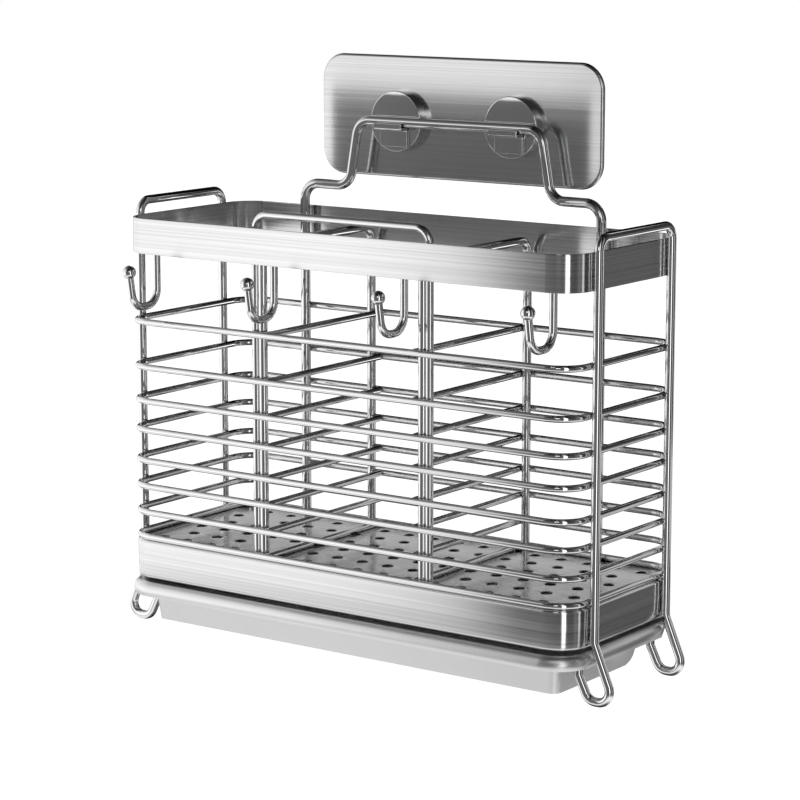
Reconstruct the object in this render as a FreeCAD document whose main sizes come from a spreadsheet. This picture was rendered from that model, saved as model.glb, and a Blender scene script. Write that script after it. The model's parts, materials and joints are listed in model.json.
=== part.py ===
import FreeCAD, Part
import math
import os
import Sketcher

# Driving sizes in millimetres: basket
BASKET_LENGTH = 244.0
BASKET_DEPTH = 91.6
BASKET_HEIGHT = 167.9
CORNER_RADIUS = 14.0
BAND_HEIGHT = 16.2
BAND_GAUGE = 1.0
RING_WIRE = 3.0
PAN_HEIGHT = 18.0
PAN_GAUGE = 0.8
PAN_SHOULDER = 1.4
PAN_HEM = 3.5
HOLE_SIZE = 5.0
HOLE_PITCH = 14.0

# Driving sizes: side frames, guard, dividers and utensil hooks
FRAME_WIRE = 4.0
FRAME_INSET = 16.1
FRAME_RISE = 5.9
FRAME_BEND = 6.0
FOOT_DROP = 23.1
FOOT_BEND = 5.4
GUARD_WIRE = 3.5
GUARD_RISE = 5.8
GUARD_BEND = 7.0
DIVIDER_WIRE = 4.0
DIVIDER_DROP = 7.5
HOOK_WIRE = 3.5
HOOK_GAP = 8.7
HOOK_REACH = 16.2
HOOK_BEND = 7.4
HOOK_BALL = 6.2

# Driving sizes: drip tray
TRAY_OVERHANG = 1.8
TRAY_AHEAD = 3.0
TRAY_BEHIND = 1.0
TRAY_DROP = 1.4
TRAY_HEIGHT = 19.4
TRAY_LIP = 5.5
TRAY_RIM = 10.6
TRAY_REAR_RIM = 14.0
TRAY_GAUGE = 0.8
TRAY_CORNER = 16.0
TRAY_ROUND = 2.0

# Driving sizes: wall plate and hanger
PLATE_WIDTH = 154.6
PLATE_HEIGHT = 56.2
PLATE_CORNER = 12.0
PLATE_GAUGE = 1.5
PLATE_LIFT = 43.7
PAD_GAUGE = 1.0
PAD_INSET = 3.0
BOSS_SIZE = 28.0
BOSS_HEIGHT = 5.0
BOSS_PITCH = 63.3
TONGUE_WIDTH = 15.0
TONGUE_GAUGE = 1.5
TONGUE_LIP = 2.0
TONGUE_FOOT = 9.0
HANGER_WIRE = 4.5
HANGER_BEND = 8.0
HANGER_TOP = 100.4
HANGER_SPREAD = 5.5
HANGER_LEGS = 164.0
HANGER_RISE = 41.9
HANGER_RUN = 11.0
HANGER_GAP = 0.7
CLEARANCE = 0.3

# Ring heights as shares of the lowest ring's drop; hook and divider places as shares of half the length
RING_SHARES = (0.3216, 0.463, 0.5695, 0.6611, 0.758, 0.8392, 0.9219, 1.0)
HOOK_SHARES = (-0.845, -0.289, 0.289, 0.905)
DIVIDER_SHARES = (-0.356, 0.356)

# Document and the sheet of driving dimensions
doc = FreeCAD.newDocument("chopstick_holder")
sheet = doc.addObject("Spreadsheet::Sheet", "dims")


class Size:
    """A number of millimetres and the sheet expression that gives the same number."""

    def __init__(self, number, text):
        self.number = number
        self.text = text

    def __add__(self, other):
        other = as_size(other)
        return Size(self.number + other.number, "(%s + %s)" % (self.text, other.text))

    def __sub__(self, other):
        other = as_size(other)
        return Size(self.number - other.number, "(%s - %s)" % (self.text, other.text))

    def __mul__(self, factor):
        return Size(self.number * factor, "(%s * %s)" % (self.text, factor))

    def __truediv__(self, divisor):
        return Size(self.number / divisor, "(%s / %s)" % (self.text, divisor))

    def __neg__(self):
        return Size(-self.number, "(0 - %s)" % self.text)

    def squared(self):
        return Size(self.number ** 2, "(%s ^ 2)" % self.text)

    def root(self):
        return Size(math.sqrt(self.number), "sqrt(%s)" % self.text)


def as_size(value):
    """Lets a plain number stand where a Size is wanted."""
    if isinstance(value, Size):
        return value
    return Size(value, str(value))


row_count = 0


def driving(alias, number):
    """Adds one driving dimension to the sheet."""
    global row_count
    row_count += 1
    sheet.set("A%d" % row_count, alias)
    sheet.set("B%d" % row_count, str(number))
    sheet.setAlias("B%d" % row_count, alias)
    return Size(number, "dims." + alias)


# Basket
length = driving("basket_length", BASKET_LENGTH)
depth = driving("basket_depth", BASKET_DEPTH)
height = driving("basket_height", BASKET_HEIGHT)
corner = driving("corner_radius", CORNER_RADIUS)
band_height = driving("band_height", BAND_HEIGHT)
band_gauge = driving("band_gauge", BAND_GAUGE)
ring_wire = driving("ring_wire", RING_WIRE)
pan_height = driving("pan_height", PAN_HEIGHT)
pan_gauge = driving("pan_gauge", PAN_GAUGE)
pan_shoulder = driving("pan_shoulder_radius", PAN_SHOULDER)
pan_hem = driving("pan_hem_width", PAN_HEM)
hole_size = driving("drain_hole_diameter", HOLE_SIZE)
hole_pitch = driving("drain_hole_pitch", HOLE_PITCH)

# Side frames with their feet, guard, dividers and utensil hooks
frame_wire = driving("frame_wire", FRAME_WIRE)
frame_inset = driving("frame_inset", FRAME_INSET)
frame_rise = driving("frame_rise", FRAME_RISE)
frame_bend = driving("frame_bend_radius", FRAME_BEND)
foot_drop = driving("foot_drop", FOOT_DROP)
foot_bend = driving("foot_bend_radius", FOOT_BEND)
guard_wire = driving("guard_wire", GUARD_WIRE)
guard_rise = driving("guard_rise", GUARD_RISE)
guard_bend = driving("guard_bend_radius", GUARD_BEND)
divider_wire = driving("divider_wire", DIVIDER_WIRE)
divider_drop = driving("divider_top_drop", DIVIDER_DROP)
hook_wire = driving("hook_wire", HOOK_WIRE)
hook_gap = driving("hook_gap", HOOK_GAP)
hook_reach = driving("hook_reach", HOOK_REACH)
hook_bend = driving("hook_bend_radius", HOOK_BEND)
hook_ball = driving("hook_ball_diameter", HOOK_BALL)

# Drip tray
tray_overhang = driving("tray_overhang", TRAY_OVERHANG)
tray_ahead = driving("tray_ahead", TRAY_AHEAD)
tray_behind = driving("tray_behind", TRAY_BEHIND)
tray_drop = driving("tray_drop", TRAY_DROP)
tray_height = driving("tray_height", TRAY_HEIGHT)
tray_lip = driving("tray_lip", TRAY_LIP)
tray_rim = driving("tray_rim_width", TRAY_RIM)
tray_rear_rim = driving("tray_rear_rim_width", TRAY_REAR_RIM)
tray_gauge = driving("tray_gauge", TRAY_GAUGE)
tray_corner = driving("tray_corner_radius", TRAY_CORNER)
tray_round = driving("tray_bottom_radius", TRAY_ROUND)

# Wall plate and hanger
plate_width = driving("plate_width", PLATE_WIDTH)
plate_height = driving("plate_height", PLATE_HEIGHT)
plate_corner = driving("plate_corner_radius", PLATE_CORNER)
plate_gauge = driving("plate_gauge", PLATE_GAUGE)
plate_lift = driving("plate_lift", PLATE_LIFT)
pad_gauge = driving("adhesive_gauge", PAD_GAUGE)
pad_inset = driving("adhesive_inset", PAD_INSET)
boss_size = driving("boss_diameter", BOSS_SIZE)
boss_height = driving("boss_height", BOSS_HEIGHT)
boss_pitch = driving("boss_pitch", BOSS_PITCH)
tongue_width = driving("tongue_width", TONGUE_WIDTH)
tongue_gauge = driving("tongue_gauge", TONGUE_GAUGE)
tongue_lip = driving("tongue_lip", TONGUE_LIP)
tongue_foot = driving("tongue_foot", TONGUE_FOOT)
hanger_wire = driving("hanger_wire", HANGER_WIRE)
hanger_bend = driving("hanger_bend_radius", HANGER_BEND)
hanger_top = driving("hanger_top_span", HANGER_TOP) / 2
hanger_spread = driving("hanger_spread", HANGER_SPREAD)
hanger_leg = driving("hanger_leg_span", HANGER_LEGS) / 2
hanger_rise = driving("hanger_rise", HANGER_RISE)
hanger_run = driving("hanger_run_rise", HANGER_RUN)
hanger_gap = driving("hanger_gap", HANGER_GAP)
clearance = driving("running_clearance", CLEARANCE)

doc.recompute()

# Planes for sketches: drawn across the top, across the front, and from front to back
PLANES = {
    "top": FreeCAD.Rotation(),
    "front": FreeCAD.Rotation(FreeCAD.Vector(1, 0, 0), 90),
    "side": FreeCAD.Rotation(FreeCAD.Vector(1, 1, 1), 120),
}

# Shared places: the wall is at zero, and the basket hangs by its hanger wire in front of the bosses
zero = as_size(0)
half_length = length / 2
half_depth = depth / 2
plate_face = -(pad_gauge + plate_gauge)
boss_face = plate_face - boss_height
hanger_y = half_depth - ring_wire - hanger_wire / 2
rod_y = boss_face - hanger_gap - hanger_wire / 2
rod_z = hanger_rise - plate_lift
wall_place = (zero, zero, zero)
basket_place = (zero, rod_y - hanger_y, -plate_lift)
pan_bottom = -height
pan_top = pan_bottom + pan_height
ring_drops = [-(pan_top + ring_wire / 2) * share for share in RING_SHARES]
divider_places = [half_length * share for share in DIVIDER_SHARES]
subparts = []


def bind(thing, prop, size):
    """Sets a property from a size and ties it to the sheet."""
    thing.setExpression(prop, as_size(size).text)


def put(thing, place):
    """Ties the position of an object to the sheet."""
    for axis, size in zip("xyz", place):
        bind(thing, "Placement.Base." + axis, size)


def finish(thing, node, place=basket_place):
    """Names a finished sub-part and puts it in the shared frame."""
    thing.Label = node
    put(thing, place)
    subparts.append(thing)
    return thing


def add_path(sketch, corners, closed=False):
    """Draws lines through the corners, each given as x, y and a bend radius or None."""
    count = len(corners)
    points = [FreeCAD.Vector(x.number, y.number, 0) for x, y, bend in corners]
    entry = list(points)
    leave = list(points)
    middle = {}
    rules = []
    bound = []

    def rule(kind, *references):
        rules.append(Sketcher.Constraint(kind, *references))

    def measured(kind, geometry, place, size):
        bound.append((len(rules), size))
        rules.append(Sketcher.Constraint(kind, -1, 1, geometry, place, size.number))

    for i, (x, y, bend) in enumerate(corners):
        if bend is None:
            continue
        before = (points[i - 1] - points[i]).normalize()
        after = (points[(i + 1) % count] - points[i]).normalize()
        half_angle = before.getAngle(after) / 2
        reach = bend.number / math.tan(half_angle)
        entry[i] = points[i] + before * reach
        leave[i] = points[i] + after * reach
        middle[i] = points[i] + (before + after).normalize() * (bend.number / math.sin(half_angle))
    lines = []
    for i in range(count if closed else count - 1):
        segment = Part.LineSegment(leave[i], entry[(i + 1) % count])
        lines.append(sketch.addGeometry(segment, False))
    for i, (x, y, bend) in enumerate(corners):
        first = i == 0 and not closed
        last = i == count - 1 and not closed
        if first or last:
            geometry, place = (lines[0], 1) if first else (lines[-1], 2)
            measured("DistanceX", geometry, place, x)
            measured("DistanceY", geometry, place, y)
            continue
        into = lines[i - 1]
        out = lines[i]
        if bend is None:
            rule("Coincident", into, 2, out, 1)
            measured("DistanceX", into, 2, x)
            measured("DistanceY", into, 2, y)
            continue
        turn = (points[i] - points[i - 1]).cross(points[(i + 1) % count] - points[i]).z
        begin, end = (entry[i], leave[i]) if turn > 0 else (leave[i], entry[i])
        circle = Part.Circle(middle[i], FreeCAD.Vector(0, 0, 1), bend.number)
        arc_shape = Part.ArcOfCircle(circle, circle.parameter(begin), circle.parameter(end))
        arc = sketch.addGeometry(arc_shape, False)
        near, far = (1, 2) if turn > 0 else (2, 1)
        rule("Tangent", into, 2, arc, near)
        rule("Tangent", arc, far, out, 1)
        bound.append((len(rules), bend))
        rules.append(Sketcher.Constraint("Radius", arc, bend.number))
        knee = sketch.addGeometry(Part.Point(points[i]), True)
        measured("DistanceX", knee, 1, x)
        measured("DistanceY", knee, 1, y)
        rule("PointOnObject", knee, 1, into)
        rule("PointOnObject", knee, 1, out)
    offset = sketch.ConstraintCount
    sketch.addConstraint(rules)
    for index, size in bound:
        sketch.setExpression("Constraints[%d]" % (offset + index), size.text)


def add_circle(sketch, x, y, diameter):
    """Draws one circle by its middle and diameter."""
    middle = FreeCAD.Vector(x.number, y.number, 0)
    circle = Part.Circle(middle, FreeCAD.Vector(0, 0, 1), diameter.number / 2)
    geometry = sketch.addGeometry(circle, False)
    offset = sketch.ConstraintCount
    sketch.addConstraint([
        Sketcher.Constraint("DistanceX", -1, 1, geometry, 3, x.number),
        Sketcher.Constraint("DistanceY", -1, 1, geometry, 3, y.number),
        Sketcher.Constraint("Radius", geometry, diameter.number / 2),
    ])
    for index, size in enumerate((x, y, diameter / 2)):
        sketch.setExpression("Constraints[%d]" % (offset + index), size.text)


def rounded(half_x, half_y, bend, middle_y=zero):
    """Corners of a rounded rectangle, anticlockwise from the left front."""
    return [
        (-half_x, middle_y - half_y, bend),
        (half_x, middle_y - half_y, bend),
        (half_x, middle_y + half_y, bend),
        (-half_x, middle_y + half_y, bend),
    ]


def wire(name, plane, place, corners, thickness, heading, closed=False):
    """Bends a round wire along a path; heading is the way that the path sets out."""
    path = doc.addObject("Sketcher::SketchObject", name + "_path")
    path.Placement = FreeCAD.Placement(FreeCAD.Vector(), PLANES[plane])
    put(path, place)
    add_path(path, corners, closed)
    x, y, bend = corners[0]
    if closed:
        x = x + bend
    start = {"top": (x, y, zero), "front": (x, zero, y), "side": (zero, x, y)}[plane]
    section = doc.addObject("Part::Circle", name + "_section")
    facing = FreeCAD.Rotation(FreeCAD.Vector(0, 0, 1), heading)
    section.Placement = FreeCAD.Placement(FreeCAD.Vector(), facing)
    bind(section, "Radius", thickness / 2)
    put(section, [a + b for a, b in zip(place, start)])
    doc.recompute()
    swept = doc.addObject("Part::Sweep", name)
    swept.Sections = [section]
    swept.Spine = (path, ["Edge%d" % (i + 1) for i in range(len(path.Shape.Edges))])
    swept.Solid = True
    swept.Frenet = False
    return swept


def new_body(node, place):
    """A body for a piece that is padded and pocketed."""
    body = doc.addObject("PartDesign::Body", node)
    return finish(body, node, place)


def body_sketch(body, name, role, lift=zero):
    """A sketch on one of the body's own origin planes, moved along its normal."""
    sketch = body.newObject("Sketcher::SketchObject", name)
    plane = next(item for item in body.Origin.OriginFeatures if item.Role == role)
    sketch.AttachmentSupport = [(plane, "")]
    sketch.MapMode = "FlatFace"
    bind(sketch, "AttachmentOffset.Base.z", lift)
    return sketch


def pad(body, sketch, size, backwards=False):
    """Adds material along the sketch normal, or against it."""
    feature = body.newObject("PartDesign::Pad", sketch.Name + "_pad")
    feature.Profile = sketch
    feature.Reversed = backwards
    bind(feature, "Length", size)
    doc.recompute()
    return feature


def pocket(body, sketch, size, along_normal=False):
    """Cuts against the sketch normal, or along it."""
    before = body.Shape.Volume
    feature = body.newObject("PartDesign::Pocket", sketch.Name + "_pocket")
    feature.Profile = sketch
    feature.Reversed = along_normal
    bind(feature, "Length", size)
    doc.recompute()
    if body.Shape.Volume >= before:
        raise RuntimeError(sketch.Name + " cuts nothing")
    return feature


def fillet(body, base, radius, chosen):
    """Rounds the edges of the base feature that the test picks."""
    names = ["Edge%d" % (i + 1) for i, edge in enumerate(base.Shape.Edges) if chosen(edge)]
    feature = body.newObject("PartDesign::Fillet", base.Name + "_fillet")
    feature.Base = (base, names)
    bind(feature, "Radius", radius)
    doc.recompute()
    return feature


def level_with(axis, place):
    """A test for edges that lie wholly at one height along an axis."""
    return lambda edge: all(abs(getattr(v.Point, axis) - place) < 1e-4 for v in edge.Vertexes)


def on_outline(edge):
    """A test for edges whose ends lie on the basket's own outline."""
    return all(
        abs(abs(v.X) - half_length.number) < 1e-4 or abs(abs(v.Y) - half_depth.number) < 1e-4
        for v in edge.Vertexes)


# Wall side: adhesive pad, plate, two bosses and their hook tongues
ALONG_X = FreeCAD.Vector(1, 0, 0)
pad_body = new_body("adhesive_pad", wall_place)
pad_outline = body_sketch(pad_body, "adhesive_outline", "XZ_Plane")
pad_loop = rounded(plate_width / 2 - pad_inset, plate_height / 2 - pad_inset, plate_corner - pad_inset)
add_path(pad_outline, pad_loop, True)
pad(pad_body, pad_outline, pad_gauge)

plate_body = new_body("wall_plate", wall_place)
plate_outline = body_sketch(plate_body, "plate_outline", "XZ_Plane", pad_gauge)
add_path(plate_outline, rounded(plate_width / 2, plate_height / 2, plate_corner), True)
plate_pad = pad(plate_body, plate_outline, plate_gauge)
fillet(plate_body, plate_pad, plate_gauge * 0.4, level_with("y", plate_face.number))

shelf = rod_z - hanger_wire / 2 - clearance
lip_inside = rod_y - hanger_wire / 2 - clearance
lip_outside = lip_inside - tongue_gauge
for side, sign in (("left", -1), ("right", 1)):
    boss_x = boss_pitch * (sign / 2)
    boss_body = new_body(side + "_hook_boss", wall_place)
    boss_outline = body_sketch(boss_body, side + "_boss_outline", "XZ_Plane", -plate_face)
    add_circle(boss_outline, boss_x, rod_z, boss_size)
    boss_pad = pad(boss_body, boss_outline, boss_height)
    fillet(boss_body, boss_pad, boss_height * 0.24, level_with("y", boss_face.number))

    tongue_body = new_body(side + "_hook_tongue", wall_place)
    tongue_side = body_sketch(tongue_body, side + "_tongue_side", "YZ_Plane", boss_x - tongue_width / 2)
    add_path(tongue_side, [
        (boss_face, shelf - tongue_foot, None),
        (boss_face, shelf, tongue_gauge * 1.4),
        (lip_inside, shelf, tongue_gauge * 0.4),
        (lip_inside, shelf + tongue_lip, None),
        (lip_outside, shelf + tongue_lip, None),
        (lip_outside, shelf - tongue_gauge, tongue_gauge * 1.4),
        (boss_face - tongue_gauge, shelf - tongue_gauge, tongue_gauge * 0.4),
        (boss_face - tongue_gauge, shelf - tongue_foot, None),
    ], True)
    pad(tongue_body, tongue_side, tongue_width)

# Hanger: hooks on the wall side above, runs down inside the rear rings below
hanger_corners = [
    (-hanger_leg, pan_top, None),
    (-hanger_leg, hanger_run, hanger_bend),
    (-(hanger_top + hanger_spread), hanger_run, hanger_bend),
    (-hanger_top, hanger_rise, hanger_bend),
    (hanger_top, hanger_rise, hanger_bend),
    (hanger_top + hanger_spread, hanger_run, hanger_bend),
    (hanger_leg, hanger_run, hanger_bend),
    (hanger_leg, pan_top, None),
]
hanger = wire("hanger_wire_loop", "front", (zero, hanger_y, zero), hanger_corners, hanger_wire,
              FreeCAD.Vector(0, 0, 1))
finish(hanger, "hanger_wire")

# Top band
band = new_body("top_band", basket_place)
band_outline = body_sketch(band, "band_outline", "XY_Plane", -band_height)
add_path(band_outline, rounded(half_length, half_depth, corner), True)
inner_band = rounded(half_length - band_gauge, half_depth - band_gauge, corner - band_gauge)
add_path(band_outline, inner_band, True)
pad(band, band_outline, band_height)

# Eight wire rings
ring_corners = rounded(half_length - ring_wire / 2, half_depth - ring_wire / 2, corner - ring_wire / 2)
for number, drop in enumerate(ring_drops, 1):
    name = "wire_ring_%d" % number
    ring = wire(name + "_loop", "top", (zero, zero, -drop), ring_corners, ring_wire, ALONG_X, True)
    finish(ring, name)

# Side frames: a bail over the end and two hook feet, one bent wire each; the left mirrors the placed right
leg_x = half_length + frame_wire / 2
leg_y = half_depth - frame_inset
join_z = pan_bottom + frame_wire
low_z = pan_bottom - foot_drop
tray_under = pan_bottom - tray_drop - tray_gauge
bail_corners = [
    (-leg_y, join_z, None),
    (-leg_y, frame_rise, frame_bend),
    (leg_y, frame_rise, frame_bend),
    (leg_y, join_z, None),
]
bail = wire("side_bail", "side", (leg_x, zero, zero), bail_corners, frame_wire, FreeCAD.Vector(0, 0, 1))
foot_corners = [
    (leg_x, join_z, None),
    (leg_x, pan_bottom + frame_wire * 0.5, frame_bend),
    (leg_x + foot_bend * 1.96, low_z, foot_bend),
    (leg_x - foot_bend * 0.43, low_z, foot_bend),
    (leg_x - foot_bend * 1.38, low_z + foot_bend * 1.95, foot_bend * 0.5),
    (leg_x - foot_bend * 1.38, tray_under - clearance, None),
]
front_foot = wire("front_foot", "front", (zero, -leg_y, zero), foot_corners, frame_wire,
                  FreeCAD.Vector(0, 0, -1))
rear_foot = doc.addObject("Part::Mirroring", "rear_foot")
rear_foot.Source = front_foot
rear_foot.Normal = FreeCAD.Vector(0, 1, 0)
right_frame = doc.addObject("Part::MultiFuse", "right_frame_wire")
right_frame.Shapes = [bail, front_foot, rear_foot]
right_frame.Refine = True
finish(right_frame, "right_side_frame")
left_frame = doc.addObject("Part::Mirroring", "left_frame_wire")
left_frame.Source = right_frame
left_frame.Normal = ALONG_X
finish(left_frame, "left_side_frame", wall_place)

# Front guard
guard_y = -half_depth + ring_wire + guard_wire / 2
guard_left = divider_places[0] - divider_wire / 2 - guard_wire / 2
guard_right = divider_places[1] + divider_wire / 2 + guard_wire / 2
guard_corners = [
    (guard_left, pan_top, None),
    (guard_left, guard_rise, guard_bend),
    (guard_right, guard_rise, guard_bend),
    (guard_right, pan_top, None),
]
guard = wire("front_guard_loop", "front", (zero, guard_y, zero), guard_corners, guard_wire,
             FreeCAD.Vector(0, 0, 1))
finish(guard, "front_guard")

# Dividers: an arch of wire and eight rungs each
arch_y = half_depth - ring_wire - divider_wire / 2
arch_corners = [
    (-arch_y, pan_top, None),
    (-arch_y, -divider_drop, frame_bend),
    (arch_y, -divider_drop, frame_bend),
    (arch_y, pan_top, None),
]
ALONG_Y = FreeCAD.Rotation(FreeCAD.Vector(1, 0, 0), -90)
rung_offset = divider_wire / 2 + ring_wire / 2
for side, inward, arch_x in zip(("left", "right"), (1, -1), divider_places):
    arch = wire(side + "_arch", "side", (arch_x, zero, zero), arch_corners, divider_wire,
                FreeCAD.Vector(0, 0, 1))
    finish(arch, side + "_divider_arch")
    rungs = []
    for number, drop in enumerate(ring_drops, 1):
        rung = doc.addObject("Part::Cylinder", "%s_rung_%d" % (side, number))
        bind(rung, "Radius", ring_wire / 2)
        bind(rung, "Height", depth - ring_wire * 2)
        rung.Placement = FreeCAD.Placement(FreeCAD.Vector(), ALONG_Y)
        put(rung, (arch_x + rung_offset * inward, -half_depth + ring_wire, -drop))
        rungs.append(rung)
    ladder = doc.addObject("Part::Compound", side + "_rungs")
    ladder.Links = rungs
    finish(ladder, side + "_divider_rungs")

# Utensil hooks on the inside of the band's front
hook_drop = ring_drops[0] - hook_gap
tip_y = -half_depth - hook_reach
tip_z = -(band_height + hook_ball)


def stem_depth(x):
    """Where a hook's stem touches the inside of the band's front, also in a rounded corner."""
    seat = corner - band_gauge - hook_wire / 2
    into_corner = x * math.copysign(1, x.number) - (half_length - corner)
    if into_corner.number > 0:
        seat_depth = (seat.squared() - into_corner.squared()).root()
    else:
        seat_depth = seat
    return corner - half_depth - seat_depth


for number, share in enumerate(HOOK_SHARES, 1):
    name = "utensil_hook_%d" % number
    hook_x = half_length * share
    stem_y = stem_depth(hook_x)
    hook_corners = [
        (stem_y, -(band_height * 0.25), None),
        (stem_y, -hook_drop, hook_bend),
        (tip_y + hook_wire * 0.8, -hook_drop, hook_bend),
        (tip_y, tip_z, None),
    ]
    place = (hook_x, zero, zero)
    bent = wire(name + "_bend", "side", place, hook_corners, hook_wire, FreeCAD.Vector(0, 0, -1))
    ball = doc.addObject("Part::Sphere", name + "_ball")
    bind(ball, "Radius", hook_ball / 2)
    put(ball, (hook_x, tip_y, tip_z))
    whole = doc.addObject("Part::Fuse", name + "_whole")
    whole.Base = bent
    whole.Tool = ball
    finish(whole, name)

# Bottom pan: floor on top with drain holes, skirt below with its edge turned in
pan = new_body("bottom_pan", basket_place)
pan_outline = body_sketch(pan, "pan_outline", "XY_Plane", pan_bottom)
add_path(pan_outline, rounded(half_length, half_depth, corner), True)
pan_pad = pad(pan, pan_outline, pan_height)
fillet(pan, pan_pad, pan_shoulder, level_with("z", pan_top.number))
pan_inside = body_sketch(pan, "pan_inside", "XY_Plane", pan_bottom)
add_path(pan_inside, rounded(half_length - pan_gauge, half_depth - pan_gauge, corner - pan_gauge), True)
pocket(pan, pan_inside, pan_height - pan_gauge, True)
hem_outline = body_sketch(pan, "hem_outline", "XY_Plane", pan_bottom)
add_path(hem_outline, rounded(half_length, half_depth, corner), True)
add_path(hem_outline, rounded(half_length - pan_hem, half_depth - pan_hem, corner - pan_hem), True)
hem_pad = pad(pan, hem_outline, pan_gauge)
low_edge = level_with("z", pan_bottom.number)
fillet(pan, hem_pad, pan_shoulder, lambda edge: low_edge(edge) and on_outline(edge))

# Drain holes: two staggered rows, repeated along the floor and across it
holes_along = int((length - corner * 2).number / hole_pitch.number) + 1
holes_across = int((depth - corner * 2).number / (hole_pitch.number * 2)) + 1
hole_spots = body_sketch(pan, "hole_spots", "XY_Plane", pan_top)
row_start = -(hole_pitch * ((holes_along - 0.5) / 2))
first_row = -(hole_pitch * (holes_across - 0.5))
add_circle(hole_spots, row_start, first_row, hole_size)
add_circle(hole_spots, row_start + hole_pitch / 2, first_row + hole_pitch, hole_size)
holes = pocket(pan, hole_spots, pan_gauge * 2)
axes = {item.Role: item for item in pan.Origin.OriginFeatures}
grid = pan.newObject("PartDesign::MultiTransform", "hole_grid")
grid.Originals = [holes]
steps = []
for role, amount, step in (("X_Axis", holes_along, hole_pitch), ("Y_Axis", holes_across, hole_pitch * 2)):
    pattern = pan.newObject("PartDesign::LinearPattern", "holes_along_" + role[0].lower())
    pattern.Direction = (axes[role], [""])
    pattern.Occurrences = amount
    bind(pattern, "Length", step * (amount - 1))
    steps.append(pattern)
grid.Transformations = steps
pan.Tip = grid
doc.recompute()

# Drip tray: well with sloped sides, flat rim and a lip turned down at the front and sides,
# left off at the rear so that the tray slides over the foot tips
tray = new_body("drip_tray", basket_place)
tray_half = half_length + tray_overhang
tray_deep = half_depth + (tray_ahead - tray_behind) / 2
tray_y = -(tray_ahead + tray_behind) / 2
rim_top = pan_bottom - tray_drop
tray_bottom = rim_top - tray_height
rim_outline = body_sketch(tray, "rim_outline", "XY_Plane", rim_top - tray_lip)
add_path(rim_outline, rounded(tray_half, tray_deep, tray_corner, tray_y), True)
rim_pad = pad(tray, rim_outline, tray_lip)
fillet(tray, rim_pad, tray_gauge * 2.5, level_with("z", rim_top.number))
rim_inside = body_sketch(tray, "rim_inside", "XY_Plane", rim_top - tray_lip)
lip_loop = rounded(tray_half - tray_gauge, tray_deep - tray_gauge, tray_corner - tray_gauge, tray_y)
add_path(rim_inside, lip_loop, True)
pocket(tray, rim_inside, tray_lip - tray_gauge, True)
rear_cut = body_sketch(tray, "rear_lip_cut", "XY_Plane", rim_top - tray_lip)
cut_y = tray_y + tray_deep + (tray_gauge - tray_corner) / 2
add_path(rear_cut, rounded(tray_half + tray_gauge, (tray_corner + tray_gauge) / 2, None, cut_y), True)
pocket(tray, rear_cut, tray_lip - tray_gauge, True)
well_half = tray_half - tray_rim
front_rim = tray_rim * 0.85
well_deep = tray_deep - (front_rim + tray_rear_rim) / 2
well_y = tray_y + (front_rim - tray_rear_rim) / 2
well_corner = tray_corner * 0.3
well_outline = body_sketch(tray, "well_outline", "XY_Plane", rim_top - tray_gauge * 0.5)
add_path(well_outline, rounded(well_half, well_deep, well_corner, well_y), True)
well_pad = pad(tray, well_outline, tray_height - tray_gauge * 0.5, True)
well_pad.TaperAngle = -7
well_inside = body_sketch(tray, "well_inside", "XY_Plane", rim_top)
inner_loop = rounded(well_half - tray_gauge, well_deep - tray_gauge, well_corner - tray_gauge, well_y)
add_path(well_inside, inner_loop, True)
well_pocket = pocket(tray, well_inside, tray_height - tray_gauge)
well_pocket.TaperAngle = -7
doc.recompute()
well_floor = (tray_bottom + tray_gauge).number
inner_round = fillet(tray, well_pocket, tray_round - tray_gauge, level_with("z", well_floor))
fillet(tray, inner_round, tray_round, level_with("z", tray_bottom.number))

doc.recompute()

# Every object and every sub-part is checked before anything is written
for thing in doc.Objects:
    if "Invalid" in thing.State or "Error" in thing.State:
        raise RuntimeError("%s failed: %s" % (thing.Name, thing.State))
for thing in subparts:
    if thing.Shape.isNull() or not thing.Shape.isValid():
        raise RuntimeError(thing.Label + " has no valid shape")

os.makedirs("parts", exist_ok=True)
for thing in subparts:
    thing.Shape.exportStep("parts/%s.step" % thing.Label)
    box = thing.Shape.BoundBox
    print("%-22s solids %d  volume %9.1f  x %7.1f %7.1f  y %7.1f %7.1f  z %7.1f %7.1f" % (
        thing.Label, len(thing.Shape.Solids), thing.Shape.Volume,
        box.XMin, box.XMax, box.YMin, box.YMax, box.ZMin, box.ZMax))
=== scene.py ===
"""A wall-hung chopstick holder of stainless wire and sheet, dressed over its CAD solids."""
import json
import math

import bmesh
import bpy
from mathutils import Matrix, Vector


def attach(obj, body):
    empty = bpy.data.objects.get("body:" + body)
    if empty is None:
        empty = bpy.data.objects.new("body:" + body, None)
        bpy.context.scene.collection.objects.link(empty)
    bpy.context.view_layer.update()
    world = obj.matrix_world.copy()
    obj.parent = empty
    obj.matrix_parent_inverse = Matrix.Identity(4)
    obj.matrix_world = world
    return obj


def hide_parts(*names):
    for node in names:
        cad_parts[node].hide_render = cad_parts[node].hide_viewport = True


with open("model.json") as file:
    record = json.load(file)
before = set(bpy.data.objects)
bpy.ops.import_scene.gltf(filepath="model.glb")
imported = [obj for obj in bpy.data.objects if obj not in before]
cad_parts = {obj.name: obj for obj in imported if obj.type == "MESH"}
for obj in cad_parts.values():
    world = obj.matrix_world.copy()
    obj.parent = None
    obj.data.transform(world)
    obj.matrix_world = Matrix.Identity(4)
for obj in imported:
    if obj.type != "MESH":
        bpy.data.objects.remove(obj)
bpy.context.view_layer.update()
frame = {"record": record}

# Sizes in millimetres, as in the part's source; the basket's own zero is the middle of its top edge
BASKET_PLACE = Vector((0, -51.0, -43.7))
WALL_PLACE = Vector((0, 0, 0))
HALF_LENGTH = 122.0
HALF_DEPTH = 45.8
CORNER = 14.0
BAND_HEIGHT = 16.2
BAND_GAUGE = 1.0
BAND_EDGE = 0.3
RING_WIRE = 3.0
PAN_TOP = -149.9
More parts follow.
